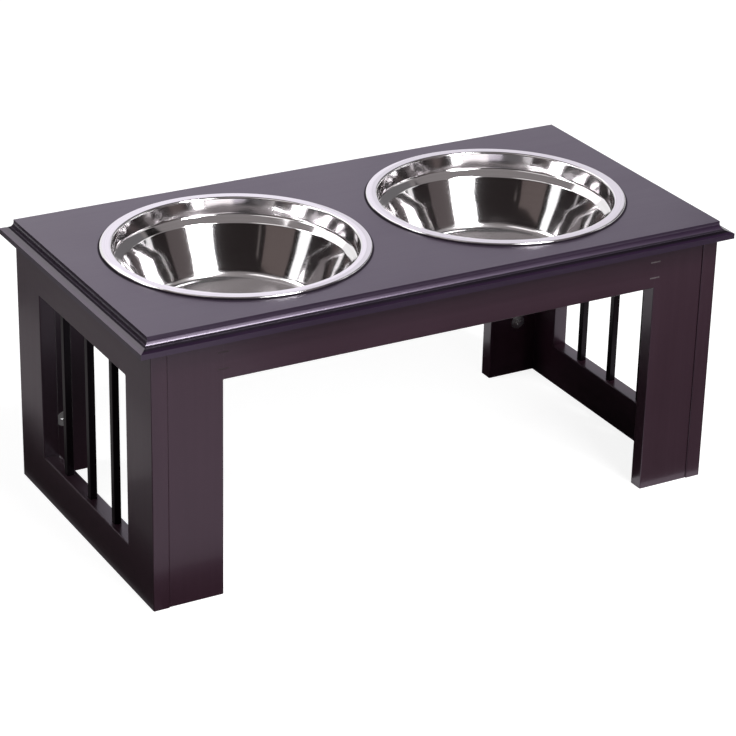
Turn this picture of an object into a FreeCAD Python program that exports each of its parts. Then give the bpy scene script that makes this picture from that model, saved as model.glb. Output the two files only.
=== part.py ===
"""Elevated dog feeder: a slatted wooden stand with two lift-out steel bowls.

Millimetres, +Z up, +X along the length, -Y to the front. The origin lies on the floor under the middle of
the stand. The stand is sized round its bowls: the bowls and the room left about them set the frame, and
the frame and its overhang set the top board.
"""
import FreeCAD, Part
import math
import os
from collections import defaultdict
from types import SimpleNamespace

import Sketcher
from FreeCAD import Placement, Rotation, Vector

# Driving dimensions, one cell of the sheet each
SIZES = {
    # Bowls: radii of the inside of the steel, depths below the top board's upper face
    "mouth_radius": 108.0,
    "bowl_depth": 64.5,
    "bowl_sheet": 0.8,
    "rim_width": 10.5,
    "rim_round": 2.6,
    "upper_wall": 14.0,
    "ledge_width": 7.0,
    "ledge_drop": 5.5,
    "ledge_round": 3.0,
    "wall_taper": 21.0,
    "base_round": 9.0,
    "base_ring": 28.0,
    "base_rise": 1.2,
    # Room about the bowls
    "rim_gap": 27.0,
    "hole_gap": 2.2,
    "end_room": 24.2,
    "side_room": 17.2,
    # Frame
    "frame_height": 239.0,
    "board": 15.0,
    "leg_width": 51.0,
    "leg_setback": 1.0,
    "apron_height": 37.0,
    "stile_width": 51.0,
    "top_rail_height": 40.0,
    "bottom_rail_height": 40.0,
    "edge_round": 1.0,
    # Slats
    "slat_side": 6.5,
    "slat_pitch": 51.0,
    "slat_round": 0.6,
    "tenon": 6.0,
    # Top board
    "top_thickness": 15.0,
    "end_overhang": 12.0,
    "front_overhang": 8.0,
    "moulding_reach": 10.0,
    # Cam locks and their bolts
    "cam_radius": 7.4,
    "cam_web": 3.0,
    "cam_setback": 20.0,
    "cam_end_distance": 56.0,
    "cam_slot_length": 7.0,
    "cam_slot_width": 1.4,
    "cam_slot_depth": 1.6,
    "top_cam_spacing": 214.0,
    "bolt_bite": 10.5,
    "bolt_thread_radius": 2.9,
    "bolt_shank_radius": 2.5,
    "bolt_neck_radius": 1.8,
    "bolt_head_radius": 3.2,
    "bolt_head_length": 3.0,
    "bolt_neck_length": 3.0,
    # Dowels
    "dowel_radius": 3.0,
    "dowel_length": 30.0,
    "dowel_bite": 10.0,
    "dowel_chamfer": 0.8,
    # Staples
    "staple_crown": 10.0,
    "staple_leg": 10.0,
    "staple_wire": 1.2,
    "staple_thickness": 0.6,
    # Clearances
    "fit_gap": 0.1,
    "end_gap": 0.5,
    "overrun": 2.0,
}

# Places along a piece, as shares of the size that they follow
RAIL_DOWEL_SHARES = (0.25, 0.75)
APRON_DOWEL_SHARE = 0.48
STAPLE_SHARES = (0.27, 0.68)
# The sheet's thickness at the bends of a bowl, across and down, as shares of the sheet
LEDGE_TOP_SHARES = (1.0, 0.486)
LEDGE_FOOT_SHARES = (0.806, 0.638)
BASE_BEND_SHARES = (0.638, 1.0)
BOSS_BEND_SHARE = 0.414
# The moulded edge: how far in, as shares of its reach, and how far down, as shares of the top's thickness
LIP_DROP_SHARE = 0.13
COVE_FOOT_SHARES = (0.70, 0.50)
QUIRK_SHARES = (0.62, 0.54)
STEP_DROP_SHARE = 0.68
COVE_RADIUS_SHARE = 0.44

SIDES = {"left": -1, "right": 1}
FACES = {"front": -1, "back": 1}
FULL_TURN = 360
TURN_LEFT = 1
TURN_RIGHT = -1


class Length:
    """A length in millimetres that carries the formula that ties it to the sheet."""

    def __init__(self, value, formula):
        self.value = value
        self.formula = formula

    def __add__(self, other):
        return Length(self.value + other.value, f"({self.formula} + {other.formula})")

    def __sub__(self, other):
        return Length(self.value - other.value, f"({self.formula} - {other.formula})")

    def __mul__(self, share):
        return Length(self.value * share, f"({self.formula} * {share})")

    __rmul__ = __mul__

    def __truediv__(self, parts):
        return Length(self.value / parts, f"({self.formula} / {parts})")

    def __neg__(self):
        return self * -1


ZERO = Length(0.0, "0")
size = SimpleNamespace(**{alias: Length(value, f"Sizes.{alias}") for alias, value in SIZES.items()})

# Lengths that follow from the driving dimensions
rim_radius = size.mouth_radius + size.rim_width
hole_radius = size.mouth_radius + size.bowl_sheet + size.hole_gap
bowl_x = rim_radius + size.rim_gap / 2
bowl_wall = size.mouth_radius + size.bowl_sheet
panel_inner = bowl_x + bowl_wall + size.end_room
panel_outer = panel_inner + size.board
panel_middle = panel_inner + size.board / 2
leg_inner = bowl_wall + size.side_room
leg_middle = leg_inner + size.board / 2
leg_face = leg_inner + size.board
stile_edge = leg_face + size.leg_setback
window_edge = stile_edge - size.stile_width
apron_end = panel_inner - size.leg_width
apron_bottom = size.frame_height - size.apron_height
window_top = size.frame_height - size.top_rail_height
top_end = panel_outer + size.end_overhang
top_front = stile_edge + size.front_overhang
deck = size.frame_height + size.top_thickness
cam_depth = size.board - size.cam_web
cam_bore = size.cam_radius + size.fit_gap
cam_heights = (size.cam_end_distance, size.frame_height - size.cam_end_distance)

doc = FreeCAD.newDocument("elevated_dog_feeder")
pieces = []
bores = defaultdict(list)


def fill_sheet():
    """Write the driving dimensions to the sheet, each with its alias."""
    sheet = doc.addObject("Spreadsheet::Sheet", "Sizes")
    for row, (alias, value) in enumerate(SIZES.items(), start=1):
        sheet.set(f"A{row}", alias)
        sheet.set(f"B{row}", str(value))
        sheet.setAlias(f"B{row}", alias)
    doc.recompute()


def bind(target, **lengths):
    """Tie properties of an object to the sheet."""
    for prop, length in lengths.items():
        target.setExpression(prop, length.formula)


def place(target, x, y, z):
    """Tie an object's place to the sheet, keeping its turn."""
    for axis, length in zip("xyz", (x, y, z)):
        target.setExpression(f"Placement.Base.{axis}", length.formula)


def keep(target, label):
    """Name a finished sub-part, so that it is written to its own file."""
    target.Label = label
    pieces.append(target)
    return target


def box(name, corner, extent):
    """Make a block from its lowest corner and its extent."""
    block = doc.addObject("Part::Box", name)
    bind(block, Length=extent[0], Width=extent[1], Height=extent[2])
    place(block, *corner)
    return block


def rod(name, start, direction, radius, length):
    """Make a plain cylinder from a start point along a direction."""
    cylinder = doc.addObject("Part::Cylinder", name)
    cylinder.Placement = Placement(Vector(), Rotation(Vector(0, 0, 1), Vector(*direction)))
    bind(cylinder, Radius=radius, Height=length)
    place(cylinder, *start)
    return cylinder


def along(start, direction, distance):
    """The point at a distance from a start point along an axis direction."""
    return tuple(at + distance * step if step else at for at, step in zip(start, direction))


def new_sketch(body, role, name, offset=ZERO):
    """Start a sketch on one of a body's own origin planes, raised by an offset."""
    sketch = body.newObject("Sketcher::SketchObject", name)
    plane = next(feature for feature in body.Origin.OriginFeatures if feature.Role == role)
    sketch.AttachmentSupport = (plane, [""])
    sketch.MapMode = "FlatFace"
    sketch.setExpression("AttachmentOffset.Base.z", offset.formula)
    return sketch


def arc_between(start, end, radius, turn):
    """The short arc from start to end, turning left or right."""
    chord = end - start
    middle = (start + end) / 2
    rise = math.sqrt(max(radius**2 - (chord.Length / 2) ** 2, 0.0))
    centre = middle + Vector(-chord.y, chord.x, 0).normalize() * rise * turn
    first, last = (start, end) if turn == TURN_LEFT else (end, start)
    angles = [math.atan2(point.y - centre.y, point.x - centre.x) for point in (first, last)]
    return Part.ArcOfCircle(Part.Circle(centre, Vector(0, 0, 1), radius), *angles)


def outline(sketch, corners):
    """Draw a closed outline with each corner tied to the sheet.

    A corner is (across, up), or (across, up, radius, turn) where the stretch to the next corner is an arc.
    """
    points = [Vector(corner[0].value, corner[1].value, 0) for corner in corners]
    first = sketch.GeometryCount
    starts, ends, radii = [], [], {}
    for index, corner in enumerate(corners):
        start, end = points[index], points[(index + 1) % len(points)]
        if len(corner) == 2:
            edge, flipped = Part.LineSegment(start, end), False
        else:
            edge, flipped = arc_between(start, end, corner[2].value, corner[3]), corner[3] == TURN_RIGHT
            radii[first + index] = corner[2]
        sketch.addGeometry(edge, False)
        starts.append((first + index, 2 if flipped else 1))
        ends.append((first + index, 1 if flipped else 2))
    rules = []
    for index, corner in enumerate(corners):
        following = starts[(index + 1) % len(starts)]
        rules.append((Sketcher.Constraint("Coincident", *ends[index], *following), None))
        rules.append((Sketcher.Constraint("DistanceX", -1, 1, *starts[index], corner[0].value), corner[0]))
        rules.append((Sketcher.Constraint("DistanceY", -1, 1, *starts[index], corner[1].value), corner[1]))
    for edge, radius in radii.items():
        rules.append((Sketcher.Constraint("Radius", edge, radius.value), radius))
    numbers = sketch.addConstraint([rule for rule, _ in rules])
    for number, (_, length) in zip(numbers, rules):
        if length is not None:
            sketch.setExpression(f"Constraints[{number}]", length.formula)


def rounded_section(across, up, radius, rounded):
    """Corners of a rectangle from the sketch's origin, some of them rounded.

    across and up may be negative. rounded holds four flags: at the origin, then round by way of across.
    """
    step_across = 1 if across.value > 0 else -1
    step_up = 1 if up.value > 0 else -1
    turn = TURN_LEFT if step_across * step_up > 0 else TURN_RIGHT
    run, rise = radius * step_across, radius * step_up
    spots = [
        ((ZERO, ZERO), (ZERO, rise), (run, ZERO)),
        ((across, ZERO), (across - run, ZERO), (across, rise)),
        ((across, up), (across, up - rise), (across - run, up)),
        ((ZERO, up), (run, up), (ZERO, up - rise)),
    ]
    corners = []
    for (sharp, arrive, leave), is_rounded in zip(spots, rounded):
        corners += [(*arrive, radius, turn), leave] if is_rounded else [sharp]
    return corners


def symmetric_pad(body, sketch, name, length):
    """Extrude a sketch by half a length to each side."""
    pad = body.newObject("PartDesign::Pad", name)
    pad.Profile = sketch
    pad.SideType = "Symmetric"
    bind(pad, Length=length)
    return pad


def upright(name, place_at, spans, across, deep, radius):
    """A standing board, in spans of height that differ in which of its edges are eased."""
    body = doc.addObject("PartDesign::Body", name)
    for number, (foot, height, rounded) in enumerate(spans):
        sketch = new_sketch(body, "XY_Plane", f"{name}_section_{number}", foot)
        outline(sketch, rounded_section(across, deep, radius, rounded))
        pad = body.newObject("PartDesign::Pad", f"{name}_span_{number}")
        pad.Profile = sketch
        bind(pad, Length=height)
    place(body, *place_at)
    return body


def crosswise(name, role, place_at, length, across, up, rounded):
    """A level board that reaches the same distance to each side of the middle."""
    body = doc.addObject("PartDesign::Body", name)
    sketch = new_sketch(body, role, f"{name}_section")
    outline(sketch, rounded_section(across, up, size.edge_round, rounded))
    symmetric_pad(body, sketch, f"{name}_run", length)
    place(body, *place_at)
    return body


def turned(name, start, direction, profile):
    """A turned piece: its half profile, as (radius, height) corners, spun about its own axis."""
    body = doc.addObject("PartDesign::Body", name)
    sketch = new_sketch(body, "XZ_Plane", f"{name}_profile")
    outline(sketch, profile)
    spun = body.newObject("PartDesign::Revolution", f"{name}_spun")
    spun.Profile = sketch
    spun.ReferenceAxis = (sketch, ["V_Axis"])
    spun.Angle = FULL_TURN
    body.Placement = Placement(Vector(), Rotation(Vector(0, 0, 1), Vector(*direction)))
    place(body, *start)
    return body


def machined(label, blank):
    """Cut the bores that the fittings ask for in a board, and keep the board."""
    waste = doc.addObject("Part::MultiFuse", f"{label}_waste")
    waste.Shapes = bores[label]
    cut = doc.addObject("Part::Cut", f"{label}_machined")
    cut.Base = blank
    cut.Tool = waste
    return keep(cut, label)


def grouped(label, solids):
    """Keep a set of like fittings as one node of separate solids."""
    group = doc.addObject("Part::Compound", f"{label}_group")
    group.Links = solids
    return keep(group, label)


def dowel(name, start, direction, boards):
    """A chamfered dowel from its start point, with its bore in each of the boards that it joins."""
    tip = size.dowel_radius - size.dowel_chamfer
    shoulder = size.dowel_length - size.dowel_chamfer
    profile = [
        (ZERO, ZERO),
        (tip, ZERO),
        (size.dowel_radius, size.dowel_chamfer),
        (size.dowel_radius, shoulder),
        (tip, size.dowel_length),
        (ZERO, size.dowel_length),
    ]
    bore_start = along(start, direction, -size.end_gap)
    bore_length = size.dowel_length + size.end_gap * 2
    bore = rod(f"{name}_bore", bore_start, direction, size.dowel_radius + size.fit_gap, bore_length)
    for label in boards:
        bores[label].append(bore)
    return turned(name, start, direction, profile)


def cam_bolt(name, joint, direction, held_in, clamped):
    """A cam bolt across a joint: its thread is held in one board, its head by the cam in the other."""
    head_end = size.cam_setback + size.bolt_head_length / 2
    head_start = head_end - size.bolt_head_length
    neck_start = head_start - size.bolt_neck_length
    profile = [
        (ZERO, ZERO),
        (size.bolt_thread_radius, ZERO),
        (size.bolt_thread_radius, size.bolt_bite),
        (size.bolt_shank_radius, size.bolt_bite),
        (size.bolt_shank_radius, size.bolt_bite + neck_start),
        (size.bolt_neck_radius, size.bolt_bite + neck_start),
        (size.bolt_neck_radius, size.bolt_bite + head_start),
        (size.bolt_head_radius, size.bolt_bite + head_start),
        (size.bolt_head_radius, size.bolt_bite + head_end),
        (ZERO, size.bolt_bite + head_end),
    ]
    start = along(joint, direction, -size.bolt_bite)
    thread_start = along(start, direction, -size.end_gap)
    thread_length = size.bolt_bite + size.end_gap
    pilot_radius = size.bolt_thread_radius + size.fit_gap
    thread = rod(f"{name}_pilot", thread_start, direction, pilot_radius, thread_length)
    shank = rod(f"{name}_way", joint, direction, size.bolt_head_radius + size.end_gap, size.cam_setback)
    bores[held_in].append(thread)
    bores[clamped].append(shank)
    return turned(name, start, direction, profile)


def cam_lock(name, joint, direction, inside, facing, clamped):
    """A cam lock, flush with a board's inside face, round the head of the bolt from the joint."""
    middle = along(joint, direction, size.cam_setback)
    centre = (middle[0], inside, middle[2])
    inward = (0, facing, 0)
    pocket_depth = cam_depth + size.fit_gap
    disc = rod(f"{name}_disc", centre, inward, size.cam_radius, cam_depth)
    bores[clamped].append(rod(f"{name}_pocket", centre, inward, cam_bore, pocket_depth))
    bolt_way_start = along(middle, direction, -size.cam_setback)
    bolt_way_length = size.cam_setback + size.bolt_head_length / 2 + size.end_gap
    bolt_way_radius = size.bolt_head_radius + size.fit_gap
    bolt_way = rod(f"{name}_bolt_way", bolt_way_start, direction, bolt_way_radius, bolt_way_length)
    slots = []
    long, thin = size.cam_slot_length, size.cam_slot_width
    for across, up in ((long, thin), (thin, long)):
        low_face = inside if facing > 0 else inside - size.cam_slot_depth
        corner = (centre[0] - across / 2, low_face, centre[2] - up / 2)
        slots.append(box(f"{name}_slot", corner, (across, size.cam_slot_depth, up)))
    waste = doc.addObject("Part::MultiFuse", f"{name}_waste")
    waste.Shapes = [bolt_way, *slots]
    lock = doc.addObject("Part::Cut", name)
    lock.Base = disc
    lock.Tool = waste
    return lock


def staple(name, joint_x, height, facing, boards):
    """A staple across a joint, its crown flush with the boards' outside face."""
    face = leg_face * facing
    wire, thick = size.staple_wire, size.staple_thickness
    left = joint_x - size.staple_crown / 2
    foot = height - wire / 2
    gap = size.fit_gap
    wire_bars, bars_waste = [], []
    bars = (
        (left, size.staple_crown, thick),
        (left, thick, size.staple_leg),
        (left + size.staple_crown - thick, thick, size.staple_leg),
    )
    for number, (start, wide, deep) in enumerate(bars):
        near = face if facing < 0 else face - deep
        wire_bars.append(box(f"{name}_bar_{number}", (start, near, foot), (wide, deep, wire)))
        room = deep + gap + size.overrun
        near_waste = face - size.overrun if facing < 0 else face - deep - gap
        corner = (start - gap, near_waste, foot - gap)
        bars_waste.append(box(f"{name}_seat_{number}", corner, (wide + gap * 2, room, wire + gap * 2)))
    for label in boards:
        bores[label] += bars_waste
    bent = doc.addObject("Part::MultiFuse", name)
    bent.Shapes = wire_bars
    bent.Refine = True
    return bent


def bowl(label, side):
    """A pressed bowl: vertical upper wall, ledge, tapered lower wall, ringed base and rolled rim."""
    sheet = size.bowl_sheet
    mouth = size.mouth_radius
    ledge_radius = mouth - size.ledge_width
    ledge_depth = size.upper_wall + size.ledge_drop
    base_radius = ledge_radius - size.wall_taper
    boss_radius = base_radius - size.base_ring
    boss_depth = size.bowl_depth - size.base_rise
    under_round = size.rim_round - sheet
    profile = [
        (ZERO, -boss_depth),
        (boss_radius, -boss_depth),
        (boss_radius + size.base_rise, -size.bowl_depth),
        (base_radius, -size.bowl_depth),
        (ledge_radius, -ledge_depth),
        (mouth, -size.upper_wall),
        (mouth, ZERO, size.rim_round, TURN_RIGHT),
        (mouth + size.rim_round, size.rim_round),
        (rim_radius - size.rim_round, size.rim_round, size.rim_round, TURN_RIGHT),
        (rim_radius, ZERO),
        (rim_radius - sheet, ZERO, under_round, TURN_LEFT),
        (rim_radius - size.rim_round, under_round),
        (mouth + size.rim_round, under_round, under_round, TURN_LEFT),
        (mouth + sheet, ZERO),
        (mouth + sheet * LEDGE_TOP_SHARES[0], -size.upper_wall - sheet * LEDGE_TOP_SHARES[1]),
        (ledge_radius + sheet * LEDGE_FOOT_SHARES[0], -ledge_depth - sheet * LEDGE_FOOT_SHARES[1]),
        (base_radius + sheet * BASE_BEND_SHARES[0], -size.bowl_depth - sheet * BASE_BEND_SHARES[1]),
        (boss_radius + size.base_rise - sheet * BOSS_BEND_SHARE, -size.bowl_depth - sheet),
        (boss_radius - sheet * BOSS_BEND_SHARE, -boss_depth - sheet),
        (ZERO, -boss_depth - sheet),
    ]
    body = turned(f"{label}_pressing", (bowl_x * side, ZERO, deck), (0, 0, 1), profile)
    bends = (
        (size.base_round, (profile[3],)),
        (size.base_round + sheet, (profile[16],)),
        (size.ledge_round, (profile[5], profile[15])),
        (size.ledge_round + sheet, (profile[4], profile[14])),
    )
    for number, (radius, corners) in enumerate(bends):
        round_circles(body, f"{label}_bend_{number}", radius, corners)
    return keep(body, label)


def round_circles(body, name, radius, corners):
    """Round the circular edges that a spun profile's corners have become."""
    doc.recompute()
    base = body.Tip
    names = []
    for number, edge in enumerate(base.Shape.Edges, start=1):
        if not isinstance(edge.Curve, Part.Circle):
            continue
        for corner in corners:
            off_radius = abs(edge.Curve.Radius - corner[0].value)
            off_height = abs(edge.Curve.Center.z - corner[1].value)
            if max(off_radius, off_height) < size.fit_gap.value:
                names.append(f"Edge{number}")
    if len(names) != len(corners):
        raise ValueError(f"{name}: found {len(names)} of {len(corners)} bends")
    bend = body.newObject("PartDesign::Fillet", name)
    bend.Base = (base, names)
    bind(bend, Radius=radius)
    body.Tip = bend


def moulding(edge, side):
    """The waste above the upright nose of the moulded edge: lip, cove, quirk and sloping step."""
    reach, thick, over = size.moulding_reach, size.top_thickness, size.overrun

    def corner(reach_share, drop_share):
        return (edge - reach * reach_share) * side, -(thick * drop_share)

    inward = TURN_LEFT if side > 0 else TURN_RIGHT
    return [
        ((edge - reach) * side, over),
        (*corner(1.0, LIP_DROP_SHARE), thick * COVE_RADIUS_SHARE, inward),
        corner(*COVE_FOOT_SHARES),
        corner(*QUIRK_SHARES),
        corner(0.0, STEP_DROP_SHARE),
        ((edge + over) * side, -(thick * STEP_DROP_SHARE)),
        ((edge + over) * side, over),
    ]


def pocket_through(body, sketch, name, length):
    """Cut a sketch away to both sides of its plane."""
    pocket = body.newObject("PartDesign::Pocket", name)
    pocket.Profile = sketch
    pocket.SideType = "Symmetric"
    bind(pocket, Length=length + size.overrun * 2)
    return pocket


def top_board():
    """The top board: a slab with a moulded edge and two round cut-outs, from its upper face down."""
    body = doc.addObject("PartDesign::Body", "top_board_blank")
    slab = new_sketch(body, "XY_Plane", "top_board_slab", -size.top_thickness)
    ends, fronts = (-top_end, top_end), (-top_front, top_front)
    outline(slab, [(ends[0], fronts[0]), (ends[1], fronts[0]), (ends[1], fronts[1]), (ends[0], fronts[1])])
    pad = body.newObject("PartDesign::Pad", "top_board_thickness")
    pad.Profile = slab
    bind(pad, Length=size.top_thickness)
    cuts = (("YZ_Plane", top_front, top_end), ("XZ_Plane", top_end, top_front))
    for role, edge, half_run in cuts:
        sketch = new_sketch(body, role, f"top_board_moulding_{role[:2]}")
        for side in SIDES.values():
            outline(sketch, moulding(edge, side))
        pocket_through(body, sketch, f"top_board_moulded_{role[:2]}", half_run * 2)
    holes = new_sketch(body, "XY_Plane", "top_board_holes")
    for side in SIDES.values():
        centre = Vector((bowl_x * side).value, 0, 0)
        ring = holes.addGeometry(Part.Circle(centre, Vector(0, 0, 1), hole_radius.value), False)
        rules = (
            (Sketcher.Constraint("DistanceX", -1, 1, ring, 3, centre.x), bowl_x * side),
            (Sketcher.Constraint("DistanceY", -1, 1, ring, 3, centre.y), ZERO),
            (Sketcher.Constraint("Radius", ring, hole_radius.value), hole_radius),
        )
        for rule, length in rules:
            holes.setExpression(f"Constraints[{holes.addConstraint(rule)}]", length.formula)
    pocket_through(body, holes, "top_board_cut_outs", size.top_thickness * 2)
    place(body, ZERO, ZERO, deck)
    return body


def stile_blank(label, side, face):
    """An upright of a side panel, eased at its outer edge and, between the rails, at the window."""
    window_height = window_top - size.bottom_rail_height
    by_rail, by_window = (True, True, False, False), (True, True, True, True)
    spans = (
        (ZERO, size.bottom_rail_height, by_rail),
        (size.bottom_rail_height, window_height, by_window),
        (window_top, size.top_rail_height, by_rail),
    )
    corner = (panel_outer * side, stile_edge * face, ZERO)
    across, deep = size.board * -side, size.stile_width * -face
    return upright(f"{label}_blank", corner, spans, across, deep, size.edge_round)


def leg_blank(label, side, face):
    """A leg, eased beside the panel and, below the apron, at the opening."""
    spans = (
        (ZERO, apron_bottom, (True, True, True, False)),
        (apron_bottom, size.apron_height, (True, False, False, False)),
    )
    corner = (panel_inner * side, leg_face * face, ZERO)
    across, deep = size.leg_width * -side, size.board * -face
    return upright(f"{label}_blank", corner, spans, across, deep, size.edge_round)


def apron_blank(label, face):
    """An apron between two legs, eased along its lower edges."""
    corner = (ZERO, leg_face * face, apron_bottom)
    eased = (True, True, False, False)
    return crosswise(
        f"{label}_blank", "YZ_Plane", corner, apron_end * 2, size.board * -face, size.apron_height, eased
    )


def rail_blank(label, side, height_at, height):
    """A rail of a side panel, eased at the window, which lies at the given height."""
    corner = (panel_outer * side, ZERO, height_at)
    eased = (True, True, False, False)
    across = size.board * -side
    return crosswise(f"{label}_blank", "XZ_Plane", corner, window_edge * 2, across, height, eased)


def slat(label, side, at_y, rails):
    """A square slat with its ends in mortises in the two rails."""
    length = window_top - size.bottom_rail_height + size.tenon * 2
    foot = size.bottom_rail_height - size.tenon
    half = size.slat_side / 2
    corner = (panel_middle * side - half, at_y - half, foot)
    spans = ((ZERO, length, (True, True, True, True)),)
    gap = size.fit_gap
    mortise_corner = (corner[0] - gap, corner[1] - gap, foot - size.end_gap)
    mortise_side = size.slat_side + gap * 2
    mortise_extent = (mortise_side, mortise_side, length + size.end_gap * 2)
    mortise = box(f"{label}_mortise", mortise_corner, mortise_extent)
    for rail in rails:
        bores[rail].append(mortise)
    keep(upright(f"{label}_bar", corner, spans, size.slat_side, size.slat_side, size.slat_round), label)


def side_panel(side_name, side):
    """One slatted side panel: stiles, rails, slats and the dowels between them."""
    top_rail, bottom_rail = f"{side_name}_top_rail", f"{side_name}_bottom_rail"
    for place_name, step in (("front", -1), ("middle", 0), ("back", 1)):
        at_y = size.slat_pitch * step if step else ZERO
        slat(f"{side_name}_{place_name}_slat", side, at_y, (top_rail, bottom_rail))
    rails = ((top_rail, window_top, size.top_rail_height), (bottom_rail, ZERO, size.bottom_rail_height))
    pins = []
    for face_name, face in FACES.items():
        stile = f"{side_name}_{face_name}_stile"
        for rail, foot, height in rails:
            for number, share in enumerate(RAIL_DOWEL_SHARES):
                start_y = window_edge * face - size.dowel_length / 2
                start = (panel_middle * side, start_y, foot + height * share)
                pins.append(dowel(f"{rail}_{face_name}_dowel_{number}", start, (0, 1, 0), (rail, stile)))
    grouped(f"{side_name}_panel_dowels", pins)
    return rails


def leg_joints(side_name, side):
    """The cam locks, bolts and dowels that hold a side panel to its two legs."""
    locks, bolts, pins = [], [], []
    inward = (-side, 0, 0)
    for face_name, face in FACES.items():
        leg, stile = f"{face_name}_{side_name}_leg", f"{side_name}_{face_name}_stile"
        for number, height in enumerate(cam_heights):
            joint = (panel_inner * side, leg_middle * face, height)
            bolts.append(cam_bolt(f"{leg}_bolt_{number}", joint, inward, stile, leg))
            locks.append(cam_lock(f"{leg}_cam_{number}", joint, inward, leg_inner * face, face, leg))
        middle = (panel_inner * side, leg_middle * face, size.frame_height / 2)
        start = along(middle, inward, -size.dowel_bite)
        pins.append(dowel(f"{leg}_dowel", start, inward, (leg, stile)))
    grouped(f"{side_name}_cam_locks", locks)
    grouped(f"{side_name}_cam_bolts", bolts)
    grouped(f"{side_name}_leg_dowels", pins)


def apron_joints(face_name, face):
    """The dowels and staples between an apron and its legs."""
    apron = f"{face_name}_apron"
    pins, staples = [], []
    for side_name, side in SIDES.items():
        leg = f"{face_name}_{side_name}_leg"
        joint_x = apron_end * side
        height = apron_bottom + size.apron_height * APRON_DOWEL_SHARE
        start = (joint_x - size.dowel_length / 2, leg_middle * face, height)
        pins.append(dowel(f"{apron}_{side_name}_dowel", start, (1, 0, 0), (apron, leg)))
        for number, share in enumerate(STAPLE_SHARES):
            name = f"{apron}_{side_name}_staple_{number}"
            at_height = apron_bottom + size.apron_height * share
            staples.append(staple(name, joint_x, at_height, face, (apron, leg)))
    grouped(f"{face_name}_apron_dowels", pins)
    grouped(f"{face_name}_staples", staples)


def top_joints():
    """The cam locks, bolts and dowels that hold the top board to the frame."""
    locks, bolts, pins = [], [], []
    down = (0, 0, -1)
    for face_name, face in FACES.items():
        apron = f"{face_name}_apron"
        for side_name, side in SIDES.items():
            joint = (size.top_cam_spacing / 2 * side, leg_middle * face, size.frame_height)
            name = f"top_{face_name}_{side_name}"
            bolts.append(cam_bolt(f"{name}_bolt", joint, down, "top_board", apron))
            locks.append(cam_lock(f"{name}_cam", joint, down, leg_inner * face, face, apron))
            stile = f"{side_name}_{face_name}_stile"
            stile_middle = (stile_edge - size.stile_width / 2) * face
            start = (panel_middle * side, stile_middle, size.frame_height + size.dowel_bite)
            pins.append(dowel(f"{name}_dowel", start, down, ("top_board", stile)))
    grouped("top_cam_locks", locks)
    grouped("top_cam_bolts", bolts)
    grouped("top_dowels", pins)


def build():
    """Make the fittings first, because they say where each board is bored, and then the boards."""
    fill_sheet()
    for side_name, side in SIDES.items():
        bowl(f"{side_name}_bowl", side)
    rails = {}
    for side_name, side in SIDES.items():
        rails[side_name] = side_panel(side_name, side)
        leg_joints(side_name, side)
    for face_name, face in FACES.items():
        apron_joints(face_name, face)
    top_joints()
    machined("top_board", top_board())
    for face_name, face in FACES.items():
        machined(f"{face_name}_apron", apron_blank(f"{face_name}_apron", face))
        for side_name, side in SIDES.items():
            leg = f"{face_name}_{side_name}_leg"
            machined(leg, leg_blank(leg, side, face))
            stile = f"{side_name}_{face_name}_stile"
            machined(stile, stile_blank(stile, side, face))
    for side_name, side in SIDES.items():
        top_rail, bottom_rail = (rail for rail, _, _ in rails[side_name])
        machined(top_rail, rail_blank(top_rail, side, window_top, size.top_rail_height))
        bottom_at = size.bottom_rail_height
        machined(bottom_rail, rail_blank(bottom_rail, side, bottom_at, -size.bottom_rail_height))
    doc.recompute()


def check():
    """Stop if any object failed or any sub-part is not a valid solid."""
    for item in doc.Objects:
        if "Invalid" in item.State or "Error" in item.State:
            raise ValueError(f"{item.Label} failed: {item.State}")
    for piece in pieces:
        if piece.Shape.isNull() or not piece.Shape.isValid() or not piece.Shape.Solids:
            raise ValueError(f"{piece.Label} has no valid solid")


def write():
    """Write each sub-part to its own file."""
    os.makedirs("parts", exist_ok=True)
    for piece in pieces:
        shape = piece.Shape
        shape.exportStep(f"parts/{piece.Label}.step")
        top = shape.BoundBox.ZMax
        print(f"{piece.Label}: {len(shape.Solids)} solids, {shape.Volume:.0f} mm3, top {top:.1f}")


build()
check()
write()
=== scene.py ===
"""Elevated dog feeder: its finishes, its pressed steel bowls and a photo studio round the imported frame.

Metres, +Z up, +X along the length, -Y to the front, in the same frame as the construction model.
"""
import logging
import math
from dataclasses import dataclass
from enum import Enum

import bpy
from mathutils import Euler, Matrix, Vector


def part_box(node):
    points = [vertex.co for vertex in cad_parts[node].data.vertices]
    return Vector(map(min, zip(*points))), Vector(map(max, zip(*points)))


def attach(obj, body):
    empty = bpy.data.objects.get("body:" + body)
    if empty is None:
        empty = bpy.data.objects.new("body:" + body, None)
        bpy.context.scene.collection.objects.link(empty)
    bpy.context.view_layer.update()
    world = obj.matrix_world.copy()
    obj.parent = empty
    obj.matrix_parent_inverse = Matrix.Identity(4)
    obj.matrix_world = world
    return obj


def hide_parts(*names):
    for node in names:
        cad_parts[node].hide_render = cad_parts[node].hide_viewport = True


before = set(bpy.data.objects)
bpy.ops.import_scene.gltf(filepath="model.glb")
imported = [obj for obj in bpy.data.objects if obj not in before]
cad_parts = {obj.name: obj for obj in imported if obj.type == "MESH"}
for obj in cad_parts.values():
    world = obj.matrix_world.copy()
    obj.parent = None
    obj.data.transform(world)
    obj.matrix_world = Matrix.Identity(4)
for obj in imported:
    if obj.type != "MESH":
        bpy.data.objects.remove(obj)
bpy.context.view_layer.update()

PHOTO_PIXELS = 736
SENSOR_WIDTH = 36.0
FULL_TURN = 2 * math.pi
MERGE_DISTANCE = 1e-6
SEED_SIZE = 0.01
SMOOTH_ANGLE = math.radians(40.0)
WHOLE = (0.0, 1.0)
UNSCALED = (1.0, 1.0, 1.0)
WHITE = (1.0, 1.0, 1.0, 1.0)
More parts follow.
